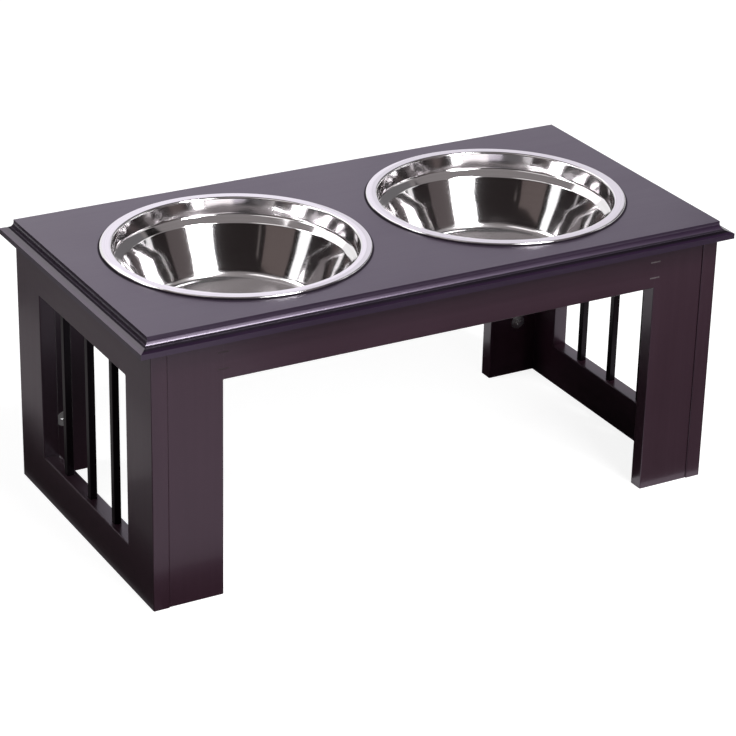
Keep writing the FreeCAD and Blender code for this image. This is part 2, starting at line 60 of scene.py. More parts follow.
CARD_HEIGHT = 0.0002
LOWER_CARD_HEIGHT = 0.0001
SAIL_HEIGHT = 2.3
# A Mix node repeats its socket names for each kind of data, so its colour sockets go by number.
MIX_LOW, MIX_HIGH, MIX_RESULT = 6, 7, 2

logging.basicConfig(level=logging.INFO, format="%(name)s: %(message)s")
log = logging.getLogger("feeder")

Colour = tuple[float, float, float]
Point = tuple[float, float, float]
Range = tuple[float, float]


class Grain(Enum):
    """The way the wood of a board runs, in the order of the axes."""

    LENGTHWISE = "lengthwise"
    CROSSWISE = "crosswise"
    UPRIGHT = "upright"


class Side(Enum):
    """The two ends of the stand, with their direction along X."""

    LEFT = -1
    RIGHT = 1

    @property
    def word(self) -> str:
        """The side's name in the names of the pieces."""
        return self.name.lower()


class Face(Enum):
    """The front and the back of the stand, with their direction along Y."""

    FRONT = -1
    BACK = 1

    @property
    def word(self) -> str:
        """The face's name in the names of the pieces."""
        return self.name.lower()


def deselect_all() -> None:
    """Leave object mode current and nothing selected."""
    active = bpy.context.view_layer.objects.active
    if active is not None and active.mode != "OBJECT":
        bpy.ops.object.mode_set(mode="OBJECT")
    bpy.ops.object.select_all(action="DESELECT")


def apply_place(piece: bpy.types.Object) -> None:
    """Put an object's place, turn and size into its mesh.

    Args:
        piece: The object, which is selected and active afterwards.
    """
    deselect_all()
    piece.select_set(True)
    bpy.context.view_layer.objects.active = piece
    bpy.ops.object.transform_apply(location=True, rotation=True, scale=True)


def apply_modifier(piece: bpy.types.Object, name: str) -> None:
    """Make one of the active object's modifiers part of its mesh.

    Args:
        piece: The object that carries the modifier.
        name: The modifier's name.
    """
    bpy.context.view_layer.objects.active = piece
    bpy.ops.object.modifier_apply(modifier=name)


def start_drawing(name: str, place: Vector | Point) -> bpy.types.Object:
    """Start a piece as one selected vertex.

    Args:
        name: The piece's name.
        place: Where the vertex lies.

    Returns:
        The piece, in edit mode.
    """
    deselect_all()
    bpy.ops.mesh.primitive_plane_add(size=SEED_SIZE, location=place)
    piece = bpy.context.object
    piece.name = name
    apply_place(piece)
    bpy.ops.object.mode_set(mode="EDIT")
    bpy.ops.mesh.select_mode(type="VERT")
    bpy.ops.mesh.select_all(action="SELECT")
    bpy.ops.mesh.merge(type="CENTER")
    return piece


def give_material(piece: bpy.types.Object, material: bpy.types.Material) -> None:
    """Dress a whole piece in one material.

    Args:
        piece: A mesh object, new or from the frame.
        material: The material that takes the place of all that it had.
    """
    piece.data.materials.clear()
    piece.data.materials.append(material)


class NodeSheet:
    """Short-hand for placing and wiring the nodes of one tree."""

    def __init__(self, tree: bpy.types.NodeTree) -> None:
        """Start on an empty tree.

        Args:
            tree: The tree of a material, a group or the world.
        """
        self.tree = tree
        tree.nodes.clear()

    def add(self, kind: str, **settings: object) -> bpy.types.Node:
        """Place a node.

        Args:
            kind: The node's type name.
            settings: Properties of the node, by name.

        Returns:
            The new node.
        """
        node = self.tree.nodes.new(kind)
        for name, value in settings.items():
            setattr(node, name, value)
        return node

    def wire(self, start: bpy.types.NodeSocket, end: bpy.types.NodeSocket) -> None:
        """Join an output to an input."""
        self.tree.links.new(start, end)

    def math(
        self, operation: str, first: bpy.types.NodeSocket, second: bpy.types.NodeSocket | float
    ) -> bpy.types.NodeSocket:
        """Place a Math node.

        Args:
            operation: The Math node's operation.
            first: The socket that feeds its first input.
            second: A socket or a plain number for its second input.

        Returns:
            The node's output.
        """
        node = self.add("ShaderNodeMath", operation=operation)
        self.wire(first, node.inputs[0])
        if isinstance(second, float):
            node.inputs[1].default_value = second
        else:
            self.wire(second, node.inputs[1])
        return node.outputs[0]

    def noise(
        self, vector: bpy.types.NodeSocket, scale: float, detail: float, distortion: float = 0.0
    ) -> bpy.types.NodeSocket:
        """Place a Noise Texture.

        Args:
            vector: The coordinates that it reads.
            scale: Waves in one unit of the coordinates.
            detail: Number of finer layers.
            distortion: How far the waves are pushed about.

        Returns:
            The noise, from 0 to 1.
        """
        node = self.add("ShaderNodeTexNoise")
        node.inputs["Scale"].default_value = scale
        node.inputs["Detail"].default_value = detail
        node.inputs["Distortion"].default_value = distortion
        self.wire(vector, node.inputs["Vector"])
        return node.outputs["Fac"]

    def ramp(
        self, value: bpy.types.NodeSocket, source: Range, target: Range = WHOLE
    ) -> bpy.types.NodeSocket:
        """Place a Map Range node that stretches and clamps a value.

        Args:
            value: The socket that is read.
            source: The range that is read.
            target: The range that comes out, 0 to 1 if nothing is said.

        Returns:
            The stretched value.
        """
        node = self.add("ShaderNodeMapRange", clamp=True)
        self.wire(value, node.inputs["Value"])
        for name, number in zip(("From Min", "From Max", "To Min", "To Max"), (*source, *target)):
            node.inputs[name].default_value = number
        return node.outputs["Result"]

    def blend(
        self, share: bpy.types.NodeSocket, low: Colour | bpy.types.NodeSocket, high: Colour
    ) -> bpy.types.NodeSocket:
        """Place a colour Mix node.

        Args:
            share: How much of the high colour is in the mix.
            low: The colour, or the socket, at share 0.
            high: The colour at share 1.

        Returns:
            The mixed colour.
        """
        node = self.add("ShaderNodeMix", data_type="RGBA")
        self.wire(share, node.inputs["Factor"])
        if isinstance(low, bpy.types.NodeSocket):
            self.wire(low, node.inputs[MIX_LOW])
        else:
            node.inputs[MIX_LOW].default_value = (*low, 1.0)
        node.inputs[MIX_HIGH].default_value = (*high, 1.0)
        return node.outputs[MIX_RESULT]

    def split(self, vector: bpy.types.NodeSocket) -> bpy.types.Node:
        """Place a Separate XYZ node.

        Args:
            vector: The vector that it takes apart.

        Returns:
            The node, with an output for each axis.
        """
        node = self.add("ShaderNodeSeparateXYZ")
        self.wire(vector, node.inputs["Vector"])
        return node

    def length(self, vector: bpy.types.NodeSocket) -> bpy.types.NodeSocket:
        """Place a Vector Math node that measures a vector.

        Args:
            vector: The vector.

        Returns:
            Its length.
        """
        node = self.add("ShaderNodeVectorMath", operation="LENGTH")
        self.wire(vector, node.inputs[0])
        return node.outputs["Value"]

    def in_view(self) -> bpy.types.NodeSocket:
        """Tell the rays that make the picture from those that only light it.

        Returns:
            1 for what the camera sees, straight, mirrored or through something clear, and 0 for the rest.
        """
        path = self.add("ShaderNodeLightPath")
        mirrored = self.math("MAXIMUM", path.outputs["Is Glossy Ray"], path.outputs["Is Transmission Ray"])
        return self.math("MAXIMUM", path.outputs["Is Camera Ray"], mirrored)

    def place_coordinates(self, scale: Point = UNSCALED, shift: Point = (0.0, 0.0, 0.0)) -> bpy.types.NodeSocket:
        """Place Object coordinates with a Mapping node.

        Args:
            scale: How often the pattern repeats in a metre, along each axis.
            shift: Where the pattern's origin is moved to, before it is scaled.

        Returns:
            The mapped coordinates.
        """
        read = self.add("ShaderNodeTexCoord")
        mapped = self.add("ShaderNodeMapping", vector_type="POINT")
        mapped.inputs["Location"].default_value = [s * k for s, k in zip(shift, scale)]
        mapped.inputs["Scale"].default_value = scale
        self.wire(read.outputs["Object"], mapped.inputs["Vector"])
        return mapped.outputs["Vector"]

    def group(self, tree: bpy.types.NodeTree, **inputs: bpy.types.NodeSocket | float) -> bpy.types.Node:
        """Place a node group.

        Args:
            tree: The group's tree.
            inputs: What feeds its sockets, by their names.

        Returns:
            The group's node.
        """
        node = self.add("ShaderNodeGroup", node_tree=tree)
        for name, value in inputs.items():
            if isinstance(value, bpy.types.NodeSocket):
                self.wire(value, node.inputs[name])
            else:
                node.inputs[name].default_value = value
        return node


class Effects:
    """The surface effects that more than one finish uses, each a node group that is built once."""

    STREAKS: Range = (0.3, 0.7)
    PORES: Range = (0.55, 0.75)
    CLOUDS: Range = (0.3, 0.7)
    EDGE_LIKENESS: Range = (0.97, 0.8)
    EDGE_SAMPLES = 6

    def __init__(self) -> None:
        """Build all the groups."""
        self.long_grain = self._long_grain()
        self.paint_film = self._paint_film()
        self.edge_wear_and_highlight = self._edge_wear_and_highlight()
        self.spun_marks = self._spun_marks()

    @staticmethod
    def _start(
        name: str, inputs: dict[str, str], outputs: dict[str, str]
    ) -> tuple[NodeSheet, bpy.types.Node, bpy.types.Node]:
        """Start a group with its sockets.

        Args:
            name: The group's name.
            inputs: The type of each input socket, by name.
            outputs: The type of each output socket, by name.

        Returns:
            The sheet of nodes, the node of its inputs and the node of its outputs.
        """
        tree = bpy.data.node_groups.new(name, "ShaderNodeTree")
        for way, sockets in (("INPUT", inputs), ("OUTPUT", outputs)):
            for socket, kind in sockets.items():
                tree.interface.new_socket(socket, in_out=way, socket_type=kind)
        sheet = NodeSheet(tree)
        return sheet, sheet.add("NodeGroupInput"), sheet.add("NodeGroupOutput")

    def _long_grain(self) -> bpy.types.NodeTree:
        """Wood grain that runs along the short-scaled axis of the coordinates.

        Returns:
            The group, which gives broad streaks and fine pores.
        """
        sheet, source, sink = self._start(
            "long_grain",
            {"Vector": "NodeSocketVector"},
            {"Streak": "NodeSocketFloat", "Pore": "NodeSocketFloat"},
        )
        streak = sheet.noise(source.outputs["Vector"], scale=1.0, detail=3.0, distortion=0.4)
        pore = sheet.noise(source.outputs["Vector"], scale=5.0, detail=2.0)
        sheet.wire(sheet.ramp(streak, self.STREAKS), sink.inputs["Streak"])
        sheet.wire(sheet.ramp(pore, self.PORES), sink.inputs["Pore"])
        return sheet.tree

    def _paint_film(self) -> bpy.types.NodeTree:
        """A sprayed film.

        Returns:
            The group, which gives slow clouds of thicker and thinner paint, and a fine skin.
        """
        sheet, source, sink = self._start(
            "paint_film",
            {"Vector": "NodeSocketVector"},
            {"Cloud": "NodeSocketFloat", "Skin": "NodeSocketFloat"},
        )
        cloud = sheet.noise(source.outputs["Vector"], scale=9.0, detail=2.0)
        skin = sheet.noise(source.outputs["Vector"], scale=620.0, detail=2.0)
        sheet.wire(sheet.ramp(cloud, self.CLOUDS), sink.inputs["Cloud"])
        sheet.wire(skin, sink.inputs["Skin"])
        return sheet.tree

    def _edge_wear_and_highlight(self) -> bpy.types.NodeTree:
        """The outward edges, where handling rubs metal and where lacquer gets a painted edge highlight.

        Returns:
            The group, which gives a mask of those edges.
        """
        sheet, source, sink = self._start(
            "edge_wear_and_highlight",
            {"Radius": "NodeSocketFloat"},
            {"Edge": "NodeSocketFloat"},
        )
        bevel = sheet.add("ShaderNodeBevel", samples=self.EDGE_SAMPLES)
        sheet.wire(source.outputs["Radius"], bevel.inputs["Radius"])
        normal = sheet.add("ShaderNodeNewGeometry")
        likeness = sheet.add("ShaderNodeVectorMath", operation="DOT_PRODUCT")
        sheet.wire(bevel.outputs["Normal"], likeness.inputs[0])
        sheet.wire(normal.outputs["Normal"], likeness.inputs[1])
        sheet.wire(sheet.ramp(likeness.outputs["Value"], self.EDGE_LIKENESS), sink.inputs["Edge"])
        return sheet.tree

    def _spun_marks(self) -> bpy.types.NodeTree:
        """Metal turned about an upright axis at the coordinates' origin.

        Returns:
            The group, which gives fine rings and slow waves.
        """
        sheet, source, sink = self._start(
            "spun_marks",
            {"Vector": "NodeSocketVector"},
            {"Rings": "NodeSocketFloat", "Waves": "NodeSocketFloat"},
        )
        split = sheet.split(source.outputs["Vector"])
        flat = sheet.add("ShaderNodeCombineXYZ")
        sheet.wire(split.outputs["X"], flat.inputs["X"])
        sheet.wire(split.outputs["Y"], flat.inputs["Y"])
        section = sheet.add("ShaderNodeCombineXYZ")
        sheet.wire(sheet.length(flat.outputs["Vector"]), section.inputs["X"])
        sheet.wire(split.outputs["Z"], section.inputs["Z"])
        rings = sheet.noise(section.outputs["Vector"], scale=1400.0, detail=3.0)
        waves = sheet.noise(source.outputs["Vector"], scale=34.0, detail=1.0)
        sheet.wire(rings, sink.inputs["Rings"])
        sheet.wire(waves, sink.inputs["Waves"])
        return sheet.tree


def new_finish(name: str) -> tuple[NodeSheet, bpy.types.Node, bpy.types.Material]:
    """Start a material with one Principled shader.

    Args:
        name: The material's name.

    Returns:
        Its sheet of nodes, its shader node and the material.
    """
    material = bpy.data.materials.new(name)
    material.use_nodes = True
    sheet = NodeSheet(material.node_tree)
    shader = sheet.add("ShaderNodeBsdfPrincipled")
    output = sheet.add("ShaderNodeOutputMaterial")
    sheet.wire(shader.outputs["BSDF"], output.inputs["Surface"])
    return sheet, shader, material


def add_bump(
    sheet: NodeSheet, shader: bpy.types.Node, height: bpy.types.NodeSocket, depth: float, strength: float
) -> None:
    """Raise a surface by a height map.

    Args:
        sheet: The material's sheet of nodes.
        shader: The shader whose normal is bent.
        height: The height map, from 0 to 1.
        depth: How far 0 lies below 1.
        strength: The share of the bend that is used.
    """
    bump = sheet.add("ShaderNodeBump")
    bump.inputs["Strength"].default_value = strength
    bump.inputs["Distance"].default_value = depth
    sheet.wire(height, bump.inputs["Height"])
    sheet.wire(bump.outputs["Normal"], shader.inputs["Normal"])


@dataclass(frozen=True)
class Grime:
    """Painted shade: near-black in the quirk of the top's moulding, and a painted contact shadow under the bowls'
    rims.
    """

    colour: Colour = (0.0016, 0.0007, 0.0018)
    quirk_top: Range = (0.2472, 0.24685)
    quirk_foot: Range = (0.2446, 0.2450)
    bowl_axes: tuple[Point, Point] = ((-0.132, 0.0, 0.0), (0.132, 0.0, 0.0))
    rim_reach: Range = (0.1203, 0.1195)
    dull_above: Range = (0.2458, 0.2461)
    dulling: float = 0.68

    def mask(self, sheet: NodeSheet) -> bpy.types.NodeSocket:
        """Find where the painted shade lies.

        Args:
            sheet: The nodes of the material.

        Returns:
            1 in the quirk and under the rims, 0 elsewhere.
        """
        height = sheet.split(sheet.place_coordinates()).outputs["Z"]
        below = sheet.ramp(height, self.quirk_top)
        above = sheet.ramp(height, self.quirk_foot)
        mask = sheet.math("MULTIPLY", below, above)
        for x, y, z in self.bowl_axes:
            reach = sheet.length(sheet.place_coordinates((1.0, 1.0, 0.0), (-x, -y, -z)))
            mask = sheet.math("MAXIMUM", mask, sheet.ramp(reach, self.rim_reach))
        return mask

    def dull(self, sheet: NodeSheet, mask: bpy.types.NodeSocket) -> bpy.types.NodeSocket:
        """Find where the painted shade is also made dull.

        Args:
            sheet: The nodes of the material.
            mask: Where the painted shade lies.

        Returns:
            1 at the foot of the cove and under the rims, 0 elsewhere.
        """
        height = sheet.split(sheet.place_coordinates()).outputs["Z"]
        return sheet.math("MULTIPLY", mask, sheet.ramp(height, self.dull_above))


@dataclass(frozen=True)
class Lacquer:
    """Opaque satin lacquer on wood, whose grain still shows faintly."""

    name: str
    deep: Colour
    thin: Colour
    # The lighter colour of the edges: partly rubbed lacquer, partly a painted highlight on the arrises.
    rubbed: Colour
    gloss: float = 0.5
    # Painted reflection colour: a violet tint on the lacquer's reflections stands in for the colour of the light
    # round the stand.
    gloss_tint: Colour = (0.92, 0.80, 1.0)
    roughness: Range = (0.28, 0.36)
    coat: float = 0.2
    coat_roughness: float = 0.12
    along: float = 5.0
    across: float = 150.0
    streak_share: float = 0.55
    edge_width: float = 0.0012
    edge_share: float = 0.35
    film_depth: float = 0.00012
    pore_height: float = -0.5
    bump: float = 0.25
    grime: Grime | None = None

    def make(self, effects: Effects, grain: Grain) -> bpy.types.Material:
        """Make the material for boards of one grain.

        Args:
            effects: The shared effects.
            grain: The way the wood runs.

        Returns:
            The material.
        """
        sheet, shader, material = new_finish(f"{self.name}_{grain.value}")
        run = list(Grain).index(grain)
        scale = tuple(self.along if axis == run else self.across for axis in range(3))
        wood = sheet.group(effects.long_grain, Vector=sheet.place_coordinates(scale))
        film = sheet.group(effects.paint_film, Vector=sheet.place_coordinates())
        edge = sheet.group(effects.edge_wear_and_highlight, Radius=self.edge_width)
        streak = sheet.math("MULTIPLY", wood.outputs["Streak"], self.streak_share)
        cloud = sheet.math("MULTIPLY", film.outputs["Cloud"], 1.0 - self.streak_share)
        mottle = sheet.math("ADD", streak, cloud)
        paint = sheet.blend(mottle, self.deep, self.thin)
        # Lighter edges: partly rubbing, partly a painted highlight where light catches the eased arrises.
        rub_and_highlight = sheet.math("MULTIPLY", edge.outputs["Edge"], self.edge_share)
        colour = sheet.blend(rub_and_highlight, paint, self.rubbed)
        polish = sheet.ramp(mottle, WHOLE, self.roughness)
        shader.inputs["Coat Weight"].default_value = self.coat
        # Painted shade: the quirk of the moulding and a ring under each bowl's rim are darkened.
        if self.grime:
            mask = self.grime.mask(sheet)
            colour = sheet.blend(mask, colour, self.grime.colour)
            dull = self.grime.dull(sheet, mask)
            polish = sheet.math("ADD", polish, sheet.math("MULTIPLY", dull, self.grime.dulling))
            sheet.wire(sheet.ramp(dull, WHOLE, (self.coat, 0.0)), shader.inputs["Coat Weight"])
        sheet.wire(colour, shader.inputs["Base Color"])
        sheet.wire(polish, shader.inputs["Roughness"])
        pores = sheet.math("MULTIPLY", wood.outputs["Pore"], self.pore_height)
        add_bump(sheet, shader, sheet.math("ADD", pores, film.outputs["Skin"]), self.film_depth, self.bump)
        shader.inputs["Specular IOR Level"].default_value = self.gloss
        shader.inputs["Specular Tint"].default_value = (*self.gloss_tint, 1.0)
        shader.inputs["Coat Roughness"].default_value = self.coat_roughness
        return material


@dataclass(frozen=True)
class PolishedSteel:
    """Pressed stainless steel, polished, with the faint rings of its spinning and a brushed base."""

    name: str
    light: Colour
    dull: Colour
    roughness: Range = (0.055, 0.12)
    ring_range: Range = (0.3, 0.75)
    base_heights: Range = (-0.058, -0.0635)
    base_brushing: float = 0.13
    wave_depth: float = 0.0012
    wave_strength: float = 0.16

    def make(self, effects: Effects, axis: Vector) -> bpy.types.Material:
        """Make the material for a bowl.

        Args:
            effects: The shared effects.
            axis: A point on the bowl's upright axis.

        Returns:
            The material.
        """
        sheet, shader, material = new_finish(self.name)
        centred = sheet.place_coordinates(shift=tuple(-axis))
        marks = sheet.group(effects.spun_marks, Vector=centred)
        rings = sheet.ramp(marks.outputs["Rings"], self.ring_range)
        sheet.wire(sheet.blend(rings, self.light, self.dull), shader.inputs["Base Color"])
        height = sheet.split(centred).outputs["Z"]
        brushed = sheet.ramp(height, self.base_heights, (0.0, self.base_brushing))
        polish = sheet.ramp(rings, WHOLE, self.roughness)
        sheet.wire(sheet.math("ADD", polish, brushed), shader.inputs["Roughness"])
        add_bump(sheet, shader, marks.outputs["Waves"], self.wave_depth, self.wave_strength)
        shader.inputs["Metallic"].default_value = 1.0
        return material


@dataclass(frozen=True)
class MetalFitting:
    """Small cast or plated metal, dull where its skin is thin and bright where it is rubbed."""

    name: str
    skin: Colour
    worn: Colour
    roughness: Range
    edge_width: float = 0.0005
    film_scale: Point = (3.0, 3.0, 3.0)
    cloud_share: float = 0.4
    skin_depth: float = 0.0001
    bump: float = 0.3

    def make(self, effects: Effects) -> bpy.types.Material:
        """Make the material.

        Args:
            effects: The shared effects.

        Returns:
            The material.
        """
        sheet, shader, material = new_finish(self.name)
        film = sheet.group(effects.paint_film, Vector=sheet.place_coordinates(self.film_scale))
        edge = sheet.group(effects.edge_wear_and_highlight, Radius=self.edge_width)
        thin = sheet.math("MULTIPLY", film.outputs["Cloud"], self.cloud_share)
        wear = sheet.math("MAXIMUM", edge.outputs["Edge"], thin)
        sheet.wire(sheet.blend(wear, self.skin, self.worn), shader.inputs["Base Color"])
        sheet.wire(sheet.ramp(wear, (1.0, 0.0), self.roughness), shader.inputs["Roughness"])
        add_bump(sheet, shader, film.outputs["Skin"], self.skin_depth, self.bump)
        shader.inputs["Metallic"].default_value = 1.0
        return material


@dataclass(frozen=True)
class PaintedWire:
    """Staple wire under the frame's lacquer, which is rubbed through at one end of the stand."""

    name: str
    paint: Colour
    bare: Colour
    rubbed_from: Range = (0.05, 0.2)
    skin_range: Range = (0.2, 0.6)
    skin_wear: Range = (0.4, 1.0)
    roughness: Range = (0.32, 0.42)
    skin_depth: float = 0.0001
    bump: float = 0.3

    def make(self, effects: Effects) -> bpy.types.Material:
        """Make the material.

        Args:
            effects: The shared effects.

        Returns:
            The material.
        """
        sheet, shader, material = new_finish(self.name)
        place = sheet.place_coordinates()
        film = sheet.group(effects.paint_film, Vector=place)
        worn_end = sheet.ramp(sheet.split(place).outputs["X"], self.rubbed_from)
        patchy = sheet.ramp(film.outputs["Skin"], self.skin_range, self.skin_wear)
        wear = sheet.math("MULTIPLY", worn_end, patchy)
        sheet.wire(sheet.blend(wear, self.paint, self.bare), shader.inputs["Base Color"])
        sheet.wire(sheet.ramp(wear, WHOLE, self.roughness), shader.inputs["Roughness"])
        add_bump(sheet, shader, film.outputs["Skin"], self.skin_depth, self.bump)
        return material


@dataclass(frozen=True)
class BareWood:
    """Unfinished dowel wood with an open grain."""

    name: str
    early: Colour
    late: Colour
    roughness: Range = (0.55, 0.7)
    grain_scale: Point = (300.0, 300.0, 40.0)
    pore_depth: float = 0.0001
    bump: float = 0.4

    def make(self, effects: Effects) -> bpy.types.Material:
        """Make the material.

        Args:
            effects: The shared effects.

        Returns:
            The material.
        """
        sheet, shader, material = new_finish(self.name)
        wood = sheet.group(effects.long_grain, Vector=sheet.place_coordinates(self.grain_scale))
        sheet.wire(sheet.blend(wood.outputs["Streak"], self.early, self.late), shader.inputs["Base Color"])
        sheet.wire(sheet.ramp(wood.outputs["Pore"], WHOLE, self.roughness), shader.inputs["Roughness"])
        add_bump(sheet, shader, wood.outputs["Pore"], self.pore_depth, self.bump)
        return material


FRAME_LACQUER = Lacquer(
    "frame_lacquer", deep=(0.0275, 0.0103, 0.0175), thin=(0.0365, 0.015, 0.0245), rubbed=(0.055, 0.034, 0.044)
)
# The top's colours lean further to violet than the frame's: partly its own tone, partly a painted violet sheen.
TOP_LACQUER = Lacquer(
    "top_lacquer",
    deep=(0.0125, 0.0044, 0.0165),
    thin=(0.0155, 0.0056, 0.0200),
    rubbed=(0.03, 0.02, 0.033),
    gloss=0.73,
    gloss_tint=(0.89, 0.745, 1.0),
    coat=0.16,
    streak_share=0.3,
    # Painted shade in the moulding's quirk and under the bowls' rims.
    grime=Grime(),
)
# Painted shade: the slats get the frame's lacquer darkened almost to black and nearly without gloss, standing in for
# the shade inside the side panels.
SHADED_SLAT_LACQUER = Lacquer(
    "shaded_slat_lacquer",
    deep=(0.0035, 0.0014, 0.0024),
    thin=(0.0055, 0.0024, 0.004),
    rubbed=(0.015, 0.009, 0.012),
    gloss=0.12,
    coat=0.04,
)
STEEL_LIGHT: Colour = (0.84, 0.82, 0.835)
STEEL_DULL: Colour = (0.77, 0.75, 0.76)
CAM_ZINC = MetalFitting("cam_zinc", (0.88, 0.88, 0.89), (0.95, 0.95, 0.95), (0.18, 0.34))
BOLT_STEEL = MetalFitting("bolt_steel", (0.5, 0.5, 0.48), (0.72, 0.72, 0.7), (0.25, 0.4))
PAINTED_WIRE = PaintedWire("painted_wire", (0.026, 0.011, 0.0175), (0.13, 0.105, 0.115))
DOWEL_BEECH = BareWood("dowel_beech", (0.6, 0.39, 0.2), (0.45, 0.26, 0.12))

FittingFinish = MetalFitting | PaintedWire | BareWood


@dataclass(frozen=True)
class Corner:
    """A corner of a section: how far it is from the axis, its height, and the radius of the bend there."""

    reach: float
    height: float
    bend: float = 0.0


@dataclass
class Section:
    """Half a section of a turned piece, drawn as one chain of edges and spun about an upright axis."""

    name: str
    axis: Vector
    corners: list[Corner]
    steps: int = 160
    bend_steps: int = 7

    def _point(self, reach: float, height: float) -> Vector:
        """The point of the drawing at a reach and a height."""
        return self.axis + Vector((reach, 0.0, height))

    def _run_to(self, start: Vector, end: Vector) -> None:
        """Draw a straight stretch from the end of the chain."""
        bpy.ops.mesh.extrude_vertices_move(TRANSFORM_OT_translate={"value": tuple(end - start)})

    def _draw(self) -> None:
        """Draw the chain of straight stretches and bends, from its first corner to its last."""
        points = [self._point(corner.reach, corner.height) for corner in self.corners]
        at = points[0]
        for before, here, after, corner in zip(points, points[1:], points[2:], self.corners[1:]):
            arrive, leave = (here - before).normalized(), (after - here).normalized()
            turn = math.atan2(arrive.x * leave.z - arrive.z * leave.x, arrive.dot(leave))
            setback = corner.bend * math.tan(abs(turn) / 2)
            bend_start = here - arrive * setback
            self._run_to(at, bend_start)
            at = bend_start
            if corner.bend:
                inward = Vector((-arrive.z, 0.0, arrive.x)) * math.copysign(corner.bend, turn)
                bpy.ops.mesh.spin(
                    steps=self.bend_steps, angle=turn, center=bend_start + inward, axis=(0.0, 1.0, 0.0)
                )
                at = here + leave * setback
        self._run_to(at, points[-1])

    def spin(self) -> bpy.types.Object:
        """Draw the section and spin it into a closed ring of faces.

        Returns:
            The turned piece, an open shell whose faces point up and in.
        """
        first = self.corners[0]
        piece = start_drawing(self.name, self._point(first.reach, first.height))
        self._draw()
        bpy.ops.mesh.select_all(action="SELECT")
        bpy.ops.mesh.spin(steps=self.steps, angle=FULL_TURN, center=self.axis, axis=(0.0, 0.0, 1.0))
        bpy.ops.mesh.select_all(action="SELECT")
        bpy.ops.mesh.remove_doubles(threshold=MERGE_DISTANCE)
        bpy.ops.mesh.normals_make_consistent(inside=False)
        bpy.ops.object.mode_set(mode="OBJECT")
        lowest = min(piece.data.polygons, key=lambda side: side.center.z)
        if lowest.normal.z < 0:
            bpy.ops.object.mode_set(mode="EDIT")
            bpy.ops.mesh.flip_normals()
            bpy.ops.object.mode_set(mode="OBJECT")
        return piece


@dataclass
class Bowl:
    """A lift-out bowl pressed from one sheet: rolled rim, upright upper wall, ledge, tapered wall and ringed base."""

    side: Side
    depth: float = 0.0645
    sheet: float = 0.0008
    rim_width: float = 0.0105
    rim_height: float = 0.0026
    rim_crown: float = 0.0003
    rim_bend_share: float = 0.8
    upper_wall: float = 0.014
    ledge_width: float = 0.007
    ledge_drop: float = 0.0055
    ledge_bend: float = 0.003
    wall_taper: float = 0.021
    wall_bow: float = 0.0006
    wall_bend: float = 0.25
    base_bend: float = 0.009
    base_ring: float = 0.028
    base_rise: float = 0.0012

    @property
    def node(self) -> str:
        """The bowl's node and body in the frame."""
        return f"{self.side.word}_bowl"

    def axis(self) -> Vector:
        """Find the bowl's upright axis.

        Returns:
            The point where it meets the top board's upper face.
        """
        low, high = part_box(self.node)
        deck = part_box("top_board")[1].z
        return Vector(((low.x + high.x) / 2, (low.y + high.y) / 2, deck))

    def section(self) -> list[Corner]:
        """Half the section of the inside of the steel, from the middle of the base to the edge of the rim.

        Returns:
            The corners, with heights from the top board's upper face.
        """
        low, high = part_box(self.node)
        rim = (high.x - low.x) / 2
        mouth = rim - self.rim_width
        ledge = mouth - self.ledge_width
        base = ledge - self.wall_taper
        boss = base - self.base_ring
        boss_height = self.base_rise - self.depth
        ledge_height = -self.upper_wall - self.ledge_drop
        shoulder = self.rim_height - self.rim_crown
        return [
            Corner(0.0, boss_height),
            Corner(boss, boss_height, self.base_rise),
            Corner(boss + 2 * self.base_rise, -self.depth, self.base_rise),
            Corner(base, -self.depth, self.base_bend),
            Corner((base + ledge) / 2 + self.wall_bow, (ledge_height - self.depth) / 2, self.wall_bend),
            Corner(ledge, ledge_height, self.ledge_bend),
            Corner(mouth, -self.upper_wall, self.ledge_bend),
            Corner(mouth, shoulder, self.rim_height * self.rim_bend_share),
            Corner((mouth + rim) / 2, self.rim_height, self.rim_width),
            Corner(rim, shoulder, shoulder / 2),
            Corner(rim, 0.0, shoulder / 2),
            Corner(rim - self.rim_height, 0.0),
        ]

    def build(self) -> bpy.types.Object:
        """Model the bowl.

        Returns:
            The finished bowl, riding on its body in place of its node.
        """
        piece = Section(f"{self.node}_pressing", self.axis(), self.section()).spin()
        wall = piece.modifiers.new("sheet", "SOLIDIFY")
        wall.thickness = self.sheet
        wall.offset = -1.0
        wall.use_even_offset = True
        apply_modifier(piece, wall.name)
        deselect_all()
        piece.select_set(True)
        bpy.ops.object.shade_smooth_by_angle(angle=SMOOTH_ANGLE)
        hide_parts(self.node)
        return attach(piece, self.node)

    def dress(self, piece: bpy.types.Object, effects: Effects) -> None:
        """Give the bowl its polish.

        Args:
            piece: The bowl.
            effects: The shared effects.
        """
        finish = PolishedSteel(f"polished_steel_{self.side.word}", STEEL_LIGHT, STEEL_DULL)
        give_material(piece, finish.make(effects, self.axis()))
        log.info("%s: pressed and polished, %d faces", piece.name, len(piece.data.polygons))


